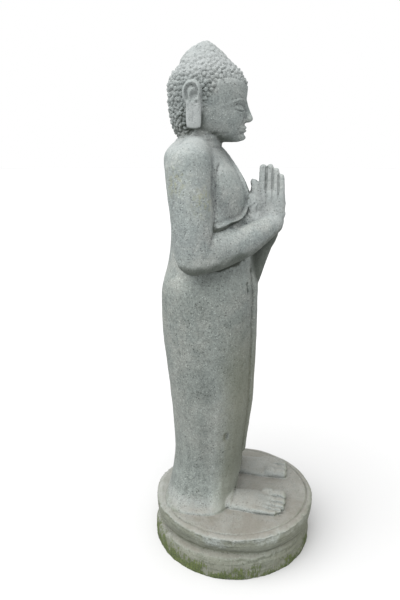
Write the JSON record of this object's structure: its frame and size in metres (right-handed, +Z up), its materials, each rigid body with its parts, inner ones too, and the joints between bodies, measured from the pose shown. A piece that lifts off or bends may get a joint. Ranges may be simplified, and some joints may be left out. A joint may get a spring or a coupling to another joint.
{
  "type": "standing stone buddha statue",
  "caption": "Standing robed figure with joined palms on a round base, carved from one stone block, as a garden or hall ornament.",
  "frame": {"origin": "middle of the base's flat underside", "axes": "+Z up, -Y the way the figure faces, +X to the figure's left"},
  "size_m": [0.6334, 0.612, 1.8093],
  "materials": {
    "stone": "rough grey-green weathered stone"
  },
  "bodies": {
    "root": {"stone_statue": "stone"}
  },
  "joints": []
}
